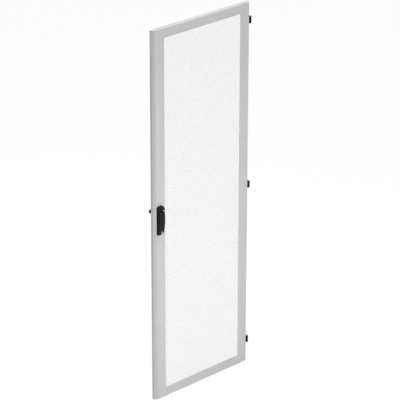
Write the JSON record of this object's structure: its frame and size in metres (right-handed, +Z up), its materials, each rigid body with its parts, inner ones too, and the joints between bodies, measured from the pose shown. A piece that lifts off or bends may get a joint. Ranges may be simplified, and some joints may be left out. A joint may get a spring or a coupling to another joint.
{
  "type": "perforated rack door",
  "caption": "Tall folded sheet-steel rack door with a hexagonally perforated window, three side hinges and a swing handle that turns a cam behind it.",
  "frame": {"origin": "centre of the middle hinge's two rack screws, on the face that lies against the rack", "axes": "+X along the door towards its hinges, +Y back into the rack, +Z up"},
  "size_m": [0.615, 0.0716, 1.84],
  "materials": {
    "grey_paint": "light grey powder coat, fine texture",
    "black_zinc": "black coated die casting",
    "zinc_plated_steel": "bright zinc plating",
    "die_cast_zinc": "bare die casting",
    "nickel": "satin nickel",
    "black_plastic": "fine grained black"
  },
  "bodies": {
    "rack_side": {"top_hinge_bracket": "black_zinc", "middle_hinge_bracket": "black_zinc", "bottom_hinge_bracket": "black_zinc", "top_hinge_pin": "zinc_plated_steel", "middle_hinge_pin": "zinc_plated_steel", "bottom_hinge_pin": "zinc_plated_steel"},
    "door": {"door_frame": "grey_paint", "perforated_sheet": "grey_paint", "left_channel": "grey_paint", "right_channel": "grey_paint", "upper_strip": "grey_paint", "lower_strip": "grey_paint", "top_hinge_leaf": "black_zinc", "middle_hinge_leaf": "black_zinc", "bottom_hinge_leaf": "black_zinc", "hinge_leaf_screws": "zinc_plated_steel", "hinge_leaf_nuts": "zinc_plated_steel", "earth_stud": "zinc_plated_steel", "handle_base": "black_plastic", "handle_clamp": "die_cast_zinc", "handle_screws": "zinc_plated_steel", "lock_barrel": "black_zinc"},
    "spindle_turn": {"spindle": "die_cast_zinc", "cam": "black_zinc", "cam_washer": "zinc_plated_steel", "cam_bolt": "zinc_plated_steel"},
    "lever": {"lever": "black_plastic", "lever_pin": "zinc_plated_steel"},
    "lock_plug": {"lock_plug": "nickel", "lock_tail": "zinc_plated_steel"}
  },
  "joints": [
    {"name": "door_swing", "type": "hinge", "parent": "rack_side", "child": "door", "pos_m": [0.025, -0.0185, 0], "axis": [0, 0, 1], "range_deg": [0, 180]},
    {"name": "handle_turn", "type": "hinge", "parent": "door", "child": "spindle_turn", "pos_m": [-0.5525, -0.0325, 0.03], "axis": [0, -1, 0], "range_deg": [0, 90]},
    {"name": "lever_lift", "type": "hinge", "parent": "spindle_turn", "child": "lever", "pos_m": [-0.5525, -0.0413, 0.0335], "axis": [-1, 0, 0], "range_deg": [0, 28]},
    {"name": "key_turn", "type": "hinge", "parent": "door", "child": "lock_plug", "pos_m": [-0.5525, -0.0325, -0.062], "axis": [0, 1, 0], "range_deg": [0, 90]}
  ]
}
